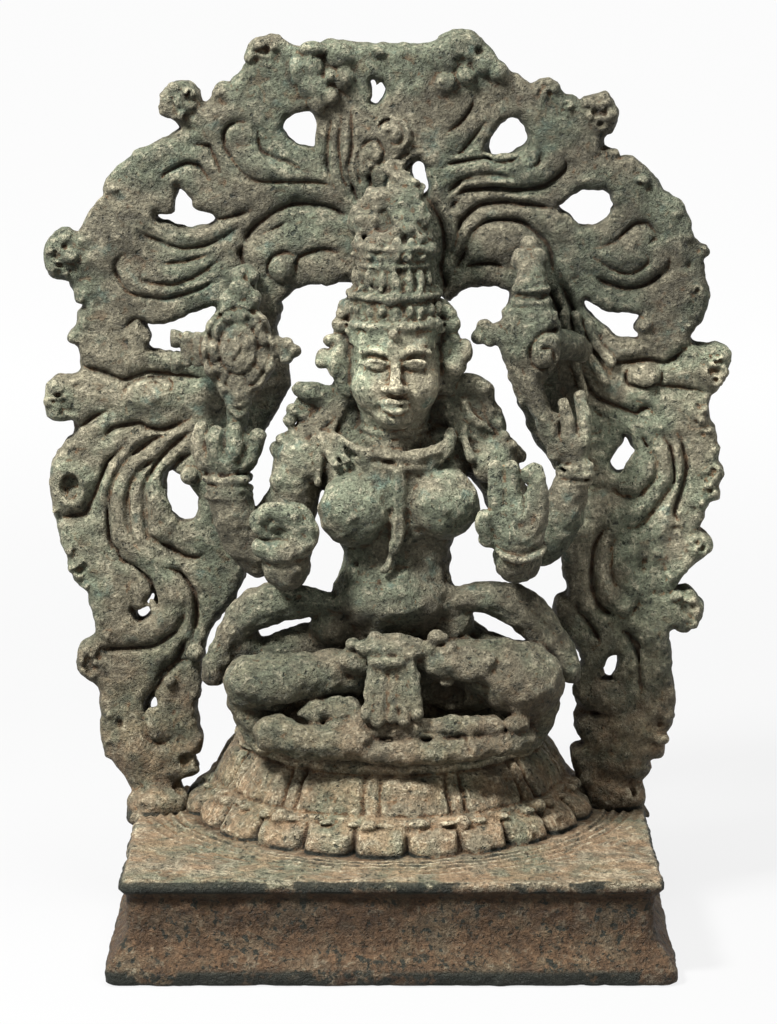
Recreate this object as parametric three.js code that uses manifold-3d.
// A seated four-armed goddess, Vaishnavi, with her lotus seat, moulded plinth and pierced flame arch,
// all one bronze casting. Millimetres, +Z up, +X to the viewer's right, +Y away from the viewer.
// The origin is the middle of the plinth's underside.
import * as THREE from "three";
import { mergeVertices } from "three/addons/utils/BufferGeometryUtils.js";
import Module from "manifold-3d";

// Plinth: a waisted block between a flared foot and a thin rolled top
const PLINTH_WIDTH = 121.4;
const PLINTH_DEPTH = 78.6;
const PLINTH_TOP = 24;
const FOOT_FLARE = 5.2;
const TOP_FLARE = 1.9;

// Lotus seat: a half-round double lotus, cut flat behind the figure
const LOTUS_Y = 27;
const LOTUS_BACK_Y = 34;
const LOTUS_RADIUS = 52;
const SEAT_RADIUS = 36.5;
const SEAT_TOP = 39.6;
const LOWER_PETALS = 14;
const UPPER_PANELS = 7;
const COLUMNS_PER_PETAL = 2;

// Flame arch: two straight jambs under an elliptical head, with one opening behind the figure
const ARCH_FRONT = 19.5;
const ARCH_BACK = 28;
const ARCH_EDGE = 1.6;
const ARCH_FOOT = PLINTH_TOP - 0.8;
const HEAD_CENTRE_Z = 128;
const HEAD_HALF_WIDTH = 78.5;
const HEAD_SQUARENESS = 2.2;
const HEAD_STEPS = 20;
const ARCH_TOP = 210.5;
const OPENING_HALF_WIDTH = 46.5;
const OPENING_TOP = 153;
const OPENING_CORNER = 24;
const RIB_RADIUS = 1.5;
const RIB_PITCH = 4.2;

// Figure: heights and half-widths measured on the seated body
const BODY_X = 1;
const WAIST_Z = 90;
const CHEST_Z = 105;
const SHOULDER_Z = 113;
const HEAD_Z = 135;
const CROWN_BASE_Z = 145;
const CROWN_TOP_Z = 180;
const THIGH_Z = 60.5;
const THIGH_RADIUS = 8.6;
const KNEE_REACH = 33;
const SHIN_Z = 49.2;
const SHIN_RADIUS = 5.9;
const ARM_RADIUS = 5;
const FINGER_PITCH = 3.1;
const FINGERTIP_Z = 114.8;
const WHEEL_LOBES = 8;

const wasm = await Module();
wasm.setup();

// Joining and placing

function solid(geometry) {
  const bare = geometry.index ? geometry.toNonIndexed() : geometry.clone();
  bare.deleteAttribute("normal");
  bare.deleteAttribute("uv");
  const merged = mergeVertices(bare, 1e-4);
  const index = merged.index.array;
  const kept = [];
  for (let i = 0; i < index.length; i += 3) {
    const [a, b, c] = index.subarray(i, i + 3);
    if (a !== b && b !== c && a !== c) kept.push(a, b, c);
  }
  return new wasm.Manifold(
    new wasm.Mesh({
      numProp: 3,
      vertProperties: merged.attributes.position.array,
      triVerts: new Uint32Array(kept),
    }),
  );
}

function join(solids) {
  return solids.reduce((whole, piece) => whole.add(piece));
}

// A ball or an ellipsoid: [x, y, z] is its middle and [rx, ry, rz] its half-sizes.
function ball([x, y, z], [rx, ry, rz], around = 8, down = 5) {
  const geometry = new THREE.SphereGeometry(1, around, down);
  geometry.rotateX(Math.PI / 2);
  geometry.scale(rx, ry, rz);
  geometry.translate(x, y, z);
  return solid(geometry);
}

// A tapered round bar between two points, each [x, y, z, radius].
function bar(from, to, sides = 6) {
  const start = new THREE.Vector3(...from);
  const end = new THREE.Vector3(...to);
  const axis = end.clone().sub(start);
  const geometry = new THREE.CylinderGeometry(to[3], from[3], axis.length(), sides);
  const up = new THREE.Vector3(0, 1, 0);
  geometry.applyQuaternion(new THREE.Quaternion().setFromUnitVectors(up, axis.normalize()));
  const middle = start.add(end).multiplyScalar(0.5);
  geometry.translate(middle.x, middle.y, middle.z);
  return solid(geometry);
}

// A round bar bent along a smooth curve through points [x, y, z, radius], with rounded ends.
function limb(points, sides = 6, ringsPerSpan = 2) {
  const curve = new THREE.CatmullRomCurve3(points.map(([x, y, z]) => new THREE.Vector3(x, y, z)));
  const rings = ringsPerSpan * (points.length - 1);
  const rows = rings + 2;
  const frames = curve.computeFrenetFrames(rings);
  const geometry = new THREE.CylinderGeometry(1, 1, 1, sides, rows);
  const place = geometry.attributes.position;
  for (let i = 0; i < place.count; i += 1) {
    const row = Math.round((0.5 - place.getY(i)) * rows);
    const ring = Math.min(Math.max(row - 1, 0), rings);
    const span = Math.min(Math.floor(ring / ringsPerSpan), points.length - 2);
    const share = ring / ringsPerSpan - span;
    const radius = points[span][3] * (1 - share) + points[span + 1][3] * share;
    const tip = row - 1 - ring;
    const across = tip ? radius * 0.55 : radius;
    const at = curve.getPoint(ring / rings);
    at.addScaledVector(frames.tangents[ring], tip * radius * 0.7);
    at.addScaledVector(frames.normals[ring], place.getX(i) * across);
    at.addScaledVector(frames.binormals[ring], place.getZ(i) * across);
    place.setXYZ(i, at.x, at.y, at.z);
  }
  return solid(geometry);
}

// A turned form about a vertical axis, from a profile of [radius, z].
function turned([x, y], profile, segments = 16) {
  const points = profile.map(([r, z]) => new THREE.Vector2(r, z));
  const geometry = new THREE.LatheGeometry(points, segments);
  geometry.rotateX(Math.PI / 2);
  geometry.translate(x, y, 0);
  return solid(geometry);
}

// A flat shape drawn in X and Z, made as thick as front to back, with rounded edges.
function upright(shape, front, back, edge, curveSegments = 10) {
  const geometry = new THREE.ExtrudeGeometry(shape, {
    depth: back - front - 2 * edge,
    bevelEnabled: edge > 0,
    bevelThickness: edge,
    bevelSize: edge,
    bevelOffset: -edge,
    bevelSegments: 1,
    curveSegments,
  });
  geometry.rotateX(Math.PI / 2);
  geometry.translate(0, back - edge, 0);
  return solid(geometry);
}

// Plinth

function plinth() {
  const core = 10;
  const profile = [
    [0, 0],
    [FOOT_FLARE - 0.6, 0],
    [FOOT_FLARE, 1.2],
    [FOOT_FLARE - 0.3, 3],
    [FOOT_FLARE / 2, 6],
    [0.8, 9],
    [0, 12],
    [0, 20],
    [TOP_FLARE, 21.2],
    [TOP_FLARE, 23.2],
    [TOP_FLARE - 0.7, PLINTH_TOP],
  ];
  const corner = profile.map(([out, z], i) => new THREE.Vector2(i ? (core + out) * Math.SQRT2 : 0, z));
  corner.push(new THREE.Vector2(0, PLINTH_TOP));
  const geometry = new THREE.LatheGeometry(corner, 4, Math.PI / 4);
  geometry.rotateX(Math.PI / 2);
  const place = geometry.attributes.position;
  const reach = [PLINTH_WIDTH / 2 - core, PLINTH_DEPTH / 2 - core];
  for (let i = 0; i < place.count; i += 1) {
    const onAxis = Math.hypot(place.getX(i), place.getY(i)) < 1;
    place.setX(i, place.getX(i) + (onAxis ? 0 : Math.sign(place.getX(i)) * reach[0]));
    place.setY(i, place.getY(i) + (onAxis ? 0 : Math.sign(place.getY(i)) * reach[1]));
  }
  return solid(geometry);
}

// Lotus seat

// Height above the plinth, radius, depth of the gaps between petals, and height of the panel ribs
const LOTUS_ROWS = [
  [-1, LOTUS_RADIUS - 2, 3, 0],
  [0.4, LOTUS_RADIUS, 3.4, 0],
  [2.2, LOTUS_RADIUS - 1.4, 3.2, 0],
  [3.6, LOTUS_RADIUS - 6.5, 0.8, 0],
  [4.4, 43.8, 0, 1.6],
  [6.8, 43, 0, 2],
  [11.2, 38.6, 0, 1.4],
  [12.6, SEAT_RADIUS - 1.6, 0, 0],
  [14, SEAT_RADIUS, 0, 0],
  [SEAT_TOP - PLINTH_TOP, SEAT_RADIUS - 1.2, 0, 0],
];

function lotusSeat() {
  const columns = 2 * LOWER_PETALS * COLUMNS_PER_PETAL;
  const columnsPerPanel = columns / 2 / UPPER_PANELS;
  const top = LOTUS_ROWS.at(-1)[0];
  const profile = [[0, LOTUS_ROWS[0][0]], ...LOTUS_ROWS, [0, top]];
  const points = profile.map(([first, second], i) => {
    const onAxis = i === 0 || i === profile.length - 1;
    return onAxis ? new THREE.Vector2(0, second) : new THREE.Vector2(second, first);
  });
  const geometry = new THREE.LatheGeometry(points, columns, Math.PI / 2);
  const place = geometry.attributes.position;
  for (let i = 0; i < place.count; i += 1) {
    const row = LOTUS_ROWS[(i % points.length) - 1];
    const column = Math.floor(i / points.length);
    if (row) {
      const gap = column % COLUMNS_PER_PETAL === 0 ? -row[2] : 0;
      const rib = column % columnsPerPanel === 0 ? row[3] : 0;
      const scale = (row[1] + gap + rib) / row[1];
      place.setX(i, place.getX(i) * scale);
      place.setZ(i, place.getZ(i) * scale);
    }
  }
  geometry.rotateX(Math.PI / 2);
  geometry.translate(0, LOTUS_Y, PLINTH_TOP);
  const behind = new THREE.BoxGeometry(140, 60, 70);
  behind.translate(0, LOTUS_BACK_Y + 30, PLINTH_TOP + 30);
  return solid(geometry).subtract(solid(behind));
}

// Figure

// Crossed legs: two thighs out to the knees, the shins folded back under them, and one foot sole up
function legs() {
  const thighs = [-1, 1].map((side) => {
    const at = (x) => BODY_X + side * x;
    const hip = [at(8), 10, THIGH_Z, THIGH_RADIUS];
    const thigh = [at(24), 1, THIGH_Z, THIGH_RADIUS];
    const knee = [at(KNEE_REACH), -1, THIGH_Z - 1.5, THIGH_RADIUS - 0.8];
    return limb([hip, thigh, knee], 7);
  });
  const shins = limb(
    [
      [BODY_X - KNEE_REACH + 1, -2, THIGH_Z - 5, SHIN_RADIUS + 1],
      [BODY_X - KNEE_REACH + 7, -7, SHIN_Z, SHIN_RADIUS],
      [BODY_X, -9, SHIN_Z - 1.5, SHIN_RADIUS - 0.8],
      [BODY_X + KNEE_REACH - 7, -7, SHIN_Z, SHIN_RADIUS],
      [BODY_X + KNEE_REACH - 1, -2, THIGH_Z - 5, SHIN_RADIUS + 1],
    ],
    7,
  );
  const seat = ball([BODY_X, 11, SHIN_Z], [28, 10.8, 11.5], 10, 5);
  const foot = ball([-14, -9, SHIN_Z + 8], [7.5, 5, 3.6], 7, 4);
  return join([...thighs, shins, seat, foot]);
}

// The pleated end of the skirt that hangs over the crossed shins
function skirtEnd() {
  const pieces = [];
  for (let pleat = -2; pleat <= 2; pleat += 1) {
    pieces.push(bar([pleat * 3, -11.5, 53, 2], [pleat * 2.2, -5, 68, 1.8], 5));
  }
  return join(pieces);
}

// A sash that arches from the waist over the thigh and falls behind the knee
function sash(side) {
  const at = (x) => BODY_X + side * x;
  return limb(
    [
      [at(10), 8, 78, 4],
      [at(20), 7, 81.5, 4.2],
      [at(30), 6, 78.5, 4.4],
      [at(38), 5, 68, 4.6],
      [at(40.5), 5, 60, 3.4],
    ],
    6,
  );
}

function torso() {
  const x = BODY_X;
  return join([
    ball([x, 8, 72], [14, 11, 13], 8, 5),
    ball([x, 6, 79], [12.4, 9.5, 8], 8, 5),
    limb([[x, 8, 80, 9.5], [x, 8, WAIST_Z, 9.4], [x, 8, CHEST_Z - 6, 10.4]], 9, 1),
    ball([x, 8, CHEST_Z], [17.5, 9, 10], 8, 5),
    ball([x, 8, SHOULDER_Z], [21, 7, 5.2], 8, 4),
    ball([x - 9, -0.5, CHEST_Z - 1.5], [8, 7.5, 8], 8, 5),
    ball([x + 11, -0.5, CHEST_Z], [7.6, 7.5, 7.8], 8, 5),
    turned([x, 5], [[0, 112], [11, 112], [11.5, 115], [8, 118], [6.6, 121], [6.8, 127], [0, 127]], 9),
  ]);
}

function head() {
  const x = BODY_X;
  const pieces = [
    ball([x, 5, HEAD_Z], [11, 11, 12.5], 8, 6),
    ball([x, -1, HEAD_Z - 6], [7.5, 7, 6.6], 8, 5),
    bar([x, -6.5, HEAD_Z + 3, 1], [x, -8, HEAD_Z - 2.4, 1.6], 6),
    ball([x, -6.2, HEAD_Z - 6.5], [2.6, 1.6, 1.4], 6, 4),
  ];
  for (const side of [-1, 1]) {
    pieces.push(ball([x + side * 13, 6, HEAD_Z + 1], [3.6, 4, 6], 6, 4));
    pieces.push(ball([x + side * 16, 6, HEAD_Z - 0.5], [3, 3, 3], 5, 4));
    pieces.push(ball([x + side * 13.5, 3, CROWN_BASE_Z + 1], [3, 3, 3.4], 6, 4));
  }
  return join(pieces);
}

// A tall crown of stepped bands, narrowing to a knob
function crown() {
  const profile = [
    [0, CROWN_BASE_Z - 3],
    [12.2, CROWN_BASE_Z - 3],
    [12.6, 150],
    [10.4, 152.5],
    [9.4, 155.5],
    [10.2, 158.5],
    [9, 161],
    [10.2, 165],
    [6.4, 168.5],
    [6.8, 171.5],
    [4.8, 176.5],
    [2.4, CROWN_TOP_Z],
    [0, CROWN_TOP_Z + 0.4],
  ];
  return turned([BODY_X + 0.5, 6], profile, 10);
}

// Locks of hair that fall from behind each ear to the shoulder
function locks(side) {
  const at = (x) => BODY_X + side * x;
  return join([
    limb([[at(12), 9, 131, 4], [at(17), 8, 124, 4.4], [at(21), 8, 116, 4.6]], 8),
    ball([at(20.5), 5, 128], [4, 3.6, 3.2], 6, 4),
  ]);
}

function frontArms() {
  const left = limb([
    [-19, 7, 112, ARM_RADIUS + 1],
    [-27, 8, 101, ARM_RADIUS],
    [-28.6, 5.6, 90.4, ARM_RADIUS],
    [-26, -3, 90, ARM_RADIUS - 0.8],
    [-25, -6, 94, 4.4],
  ]);
  const leftHand = join([
    ball([-25.5, -8, 96.5], [7, 5.5, 4.6], 6, 4),
    ball([-26.5, -8, 102], [5.6, 4.6, 3.6], 6, 4),
  ]);
  const right = limb([
    [21, 7, 113, ARM_RADIUS + 1],
    [30, 9, 102, ARM_RADIUS],
    [33, 6, 91, ARM_RADIUS],
    [30, -3, 90, ARM_RADIUS - 0.4],
    [29, -6, 94, 4.4],
  ]);
  const palm = ball([28.5, -7.5, 99.5], [7, 3.6, 7.5], 6, 4);
  const fingers = [];
  for (let i = 0; i < 4; i += 1) {
    const x = 24.2 + i * FINGER_PITCH;
    const tip = i === 3 ? FINGERTIP_Z - 2.3 : FINGERTIP_Z;
    fingers.push(bar([x, -7.5, 101, 1.9], [x + 0.3, -7.2, tip, 1.5], 5));
  }
  const thumb = bar([23, -8, 97, 1.9], [21.6, -9, 105.5, 1.4], 6);
  return join([left, leftHand, right, palm, thumb, ...fingers]);
}

function backArms() {
  const left = limb([
    [-19, 11, 111, ARM_RADIUS],
    [-30, 13, 97, ARM_RADIUS],
    [-33.5, 12, 88, ARM_RADIUS],
    [-36.5, 10, 99, ARM_RADIUS],
    [-38.5, 9, 108, 4.6],
  ]);
  const leftHand = join([
    ball([-38.8, 8, 114], [8.2, 5, 6], 6, 4),
    bar([-44, 8, 115, 2.6], [-45, 8, 124, 2.1], 6),
    bar([-33, 7, 116, 2.8], [-32.5, 7, 124.5, 2.2], 6),
  ]);
  const right = limb([
    [21, 11, 112, ARM_RADIUS],
    [33, 14, 98, ARM_RADIUS],
    [38, 12, 90, ARM_RADIUS],
    [41.5, 10, 101, ARM_RADIUS],
    [43, 9, 111, 4.6],
  ]);
  const rightHand = join([
    ball([41.5, 8, 117], [6, 5, 6.5], 6, 4),
    bar([44.5, 8, 118, 2.6], [44, 8, 130.5, 2], 6),
    bar([38.5, 6, 118, 2.6], [37, 6, 127.5, 2], 6),
  ]);
  return join([left, leftHand, right, rightHand]);
}

// Wheel held up on the viewer's left, with a knob at each side and a flame above
function wheel() {
  const x = -35.8;
  const z = 137.4;
  const rim = new THREE.Shape();
  for (let i = 0; i < 2 * WHEEL_LOBES; i += 1) {
    const turn = (Math.PI * i) / WHEEL_LOBES;
    const reach = i % 2 ? 0.86 : 1.06;
    const point = [x + 8.6 * reach * Math.cos(turn), z + 11 * reach * Math.sin(turn)];
    if (i) rim.lineTo(...point);
    else rim.moveTo(...point);
  }
  rim.closePath();
  return join([
    upright(rim, 4.4, 11.6, 0),
    ball([x, 3.5, z + 2], [3, 3, 4]),
    limb([[x - 6, 9, z + 3, 2], [x - 12, 10, z + 3.5, 2.6]], 6, 1),
    limb([[x + 5, 8, z + 2, 2], [x + 9.5, 8, z + 2, 2.8]], 6, 1),
    limb([[x, 10, z + 8, 4], [x, 13, z + 14, 4.2], [x, 19, z + 20, 3.6]], 7, 1),
  ]);
}

// Conch held up on the viewer's right, point down, with a flame above
function conch() {
  const x = 32.6;
  const shell = [
    [0, 127],
    [3.4, 131],
    [7, 139],
    [7.4, 144],
    [6, 149],
    [3.6, 153],
    [3.4, 157],
    [0, 157],
  ];
  return join([
    turned([x, 8], shell, 9),
    ball([x - 9, 8, 142.6], [3, 3, 3.6], 6, 4),
    limb([[x, 11, 152, 4], [x + 1, 15, 158, 4], [x + 2, 19, 162, 3.4]], 6, 1),
    bar([x + 5, 10, 141, 4], [43, 15, 139, 4.4]),
  ]);
}

// Flame arch

// Outer edge of the viewer's left jamb, from its foot up to the head
const LEFT_JAMB = [
  [-64.5, ARCH_FOOT],
  [-64.5, 33],
  [-70.5, 38],
  [-71.5, 68],
  [-75, 80],
  [-78, 92],
  [-79.5, 110],
];

// Outer edge of the viewer's right jamb, from the head down to its foot
const RIGHT_JAMB = [
  [77.5, 110],
  [76, 98],
  [70.5, 82],
  [68.8, 68],
  [68.8, 44],
  [66, 36],
  [61.5, 31],
  [62, ARCH_FOOT],
];

// A point on the arch's head, an ellipse drawn a little square at its shoulders
function headPoint(turn) {
  const power = 2 / HEAD_SQUARENESS;
  const across = Math.sign(Math.cos(turn)) * Math.abs(Math.cos(turn)) ** power;
  const up = Math.abs(Math.sin(turn)) ** power;
  return [HEAD_HALF_WIDTH * across, HEAD_CENTRE_Z + (ARCH_TOP - HEAD_CENTRE_Z) * up];
}

function archOutline() {
  const shape = new THREE.Shape();
  const arcX = OPENING_HALF_WIDTH - OPENING_CORNER;
  const arcZ = OPENING_TOP - OPENING_CORNER;
  shape.moveTo(-OPENING_HALF_WIDTH, ARCH_FOOT);
  for (const point of LEFT_JAMB) shape.lineTo(...point);
  for (let i = HEAD_STEPS; i >= 0; i -= 1) shape.lineTo(...headPoint((Math.PI * i) / HEAD_STEPS));
  for (const point of RIGHT_JAMB) shape.lineTo(...point);
  shape.lineTo(OPENING_HALF_WIDTH, ARCH_FOOT);
  shape.lineTo(OPENING_HALF_WIDTH, arcZ);
  shape.absarc(arcX, arcZ, OPENING_CORNER, 0, Math.PI / 2, false);
  shape.absarc(-arcX, arcZ, OPENING_CORNER, Math.PI / 2, Math.PI, false);
  shape.closePath();
  return shape;
}

// Pierced holes, each [x, z, half-width, half-height, lean in degrees]
const PIERCINGS = [
  [-49.5, 170.6, 6.2, 4.2, 0],
  [-51, 142, 7.4, 4.2, 18],
  [-20.8, 189.8, 3.4, 5, 25],
  [-3.2, 198.4, 1.8, 2.8, 0],
  [7, 178.2, 1.7, 3.9, 12],
  [27.8, 188.4, 3.6, 5.6, -38],
  [47, 171.2, 6, 4.4, 0],
  [53.4, 143.4, 7, 3.2, -28],
  [56.3, 110.6, 2.9, 3.8, 0],
  [-50.4, 99.8, 3.3, 5.6, 12],
  [-59.9, 73.4, 1.6, 3.2, -35],
  [-57, 46.6, 2.4, 4.2, 22],
];

function piercing([x, z, halfWidth, halfHeight, lean]) {
  const shape = new THREE.Shape();
  shape.absellipse(x, z, halfWidth, halfHeight, 0, Math.PI * 2, false, -THREE.MathUtils.degToRad(lean));
  return upright(shape, ARCH_FRONT - 6, ARCH_BACK + 6, 0, 4);
}

// Buds and lobes along the rim, each [x, z, half-width, half-height]
const RIM_BUDS = [
  [-62, 28, 5.5, 4.5],
  [-73, 62, 4.4, 5],
  [-74.5, 82, 4.4, 5],
  [-76, 104, 7.8, 9],
  [-78.5, 125.4, 5.4, 5.4],
  [-74, 144, 4.4, 5],
  [-74.5, 154, 4, 5],
  [-78, 162, 5.4, 5.2],
  [-70, 168, 5, 5],
  [-49.5, 197, 5, 4.6],
  [-40, 197.5, 4, 4],
  [-30, 207.6, 5.2, 5],
  [-17, 203, 6.6, 9],
  [17.5, 205.6, 7.6, 8],
  [36.5, 198.6, 4, 4],
  [49.5, 193, 4.8, 5.6],
  [57, 179.4, 5, 4.4],
  [66, 170.5, 5, 4.6],
  [73, 161.5, 4, 4.4],
  [76.6, 131.4, 6, 6],
  [76.6, 117, 3.6, 6],
  [76.6, 106.4, 4.2, 5],
  [73, 96, 4.8, 5],
  [73.2, 88, 5, 4.4],
  [70.6, 73, 6, 5.4],
  [64, 37, 5, 6],
  [60, 29, 4.6, 5],
];

function rimBuds() {
  const middle = (ARCH_FRONT + ARCH_BACK) / 2 - 1;
  return RIM_BUDS.map(([x, z, rx, rz]) => ball([x, middle, z], [rx, 5.4, rz], 5, 4));
}

// Fronds: bundles of parallel ribs that spring from the crown and wind down the jambs, as [x, z] points
const FRONDS = [
  [[-38, 162], [-52, 152], [-62, 155], [-57, 161]],
  [[-14, 177], [-32, 178], [-38, 189]],
  [[-9, 172], [-12, 184], [-16, 194]],
  [[12, 172], [22, 178], [36, 179], [40, 186]],
  [[46, 160], [54, 154], [64, 158], [60, 167]],
  [[-48, 122], [-62, 116], [-67, 104], [-63, 90], [-50, 84]],
  [[-50, 80], [-54, 68], [-64, 60]],
  [[50, 128], [63, 119], [67, 107], [59, 95], [54, 82]],
  [[52, 78], [62, 66], [63, 50]],
];

// One rib runs beside its frond's middle line, at an offset.
function rib(points, offset) {
  const route = points.map(([x, z], i) => {
    const before = points[Math.max(i - 1, 0)];
    const after = points[Math.min(i + 1, points.length - 1)];
    const along = new THREE.Vector2(after[0] - before[0], after[1] - before[1]).normalize();
    return [x - along.y * offset, ARCH_FRONT + 0.2, z + along.x * offset, RIB_RADIUS];
  });
  return limb(route, 3, 1);
}

function fronds() {
  return FRONDS.flatMap((points) => [-0.5, 0.5].map((place) => rib(points, place * RIB_PITCH)));
}

function arch() {
  const plate = upright(archOutline(), ARCH_FRONT, ARCH_BACK, ARCH_EDGE, 9);
  const carved = join([plate, ...rimBuds(), ...fronds()]);
  return PIERCINGS.reduce((pierced, hole) => pierced.subtract(piercing(hole)), carved);
}

function casting() {
  return join([
    plinth(),
    lotusSeat(),
    legs(),
    skirtEnd(),
    sash(-1),
    sash(1),
    torso(),
    head(),
    crown(),
    locks(-1),
    locks(1),
    frontArms(),
    backArms(),
    wheel(),
    conch(),
    arch(),
  ]);
}

function meshOf(name, manifold, material) {
  const made = manifold.getMesh();
  const geometry = new THREE.BufferGeometry();
  geometry.setAttribute("position", new THREE.BufferAttribute(made.vertProperties, 3));
  geometry.setIndex(new THREE.BufferAttribute(made.triVerts, 1));
  geometry.computeVertexNormals();
  const mesh = new THREE.Mesh(geometry, material);
  mesh.name = name;
  return mesh;
}

const bronze = new THREE.MeshStandardMaterial({ color: 0x77786a, roughness: 0.62, metalness: 0.55 });

const figure = new THREE.Group();
figure.add(meshOf("vaishnavi_bronze", casting(), bronze));

export default figure;
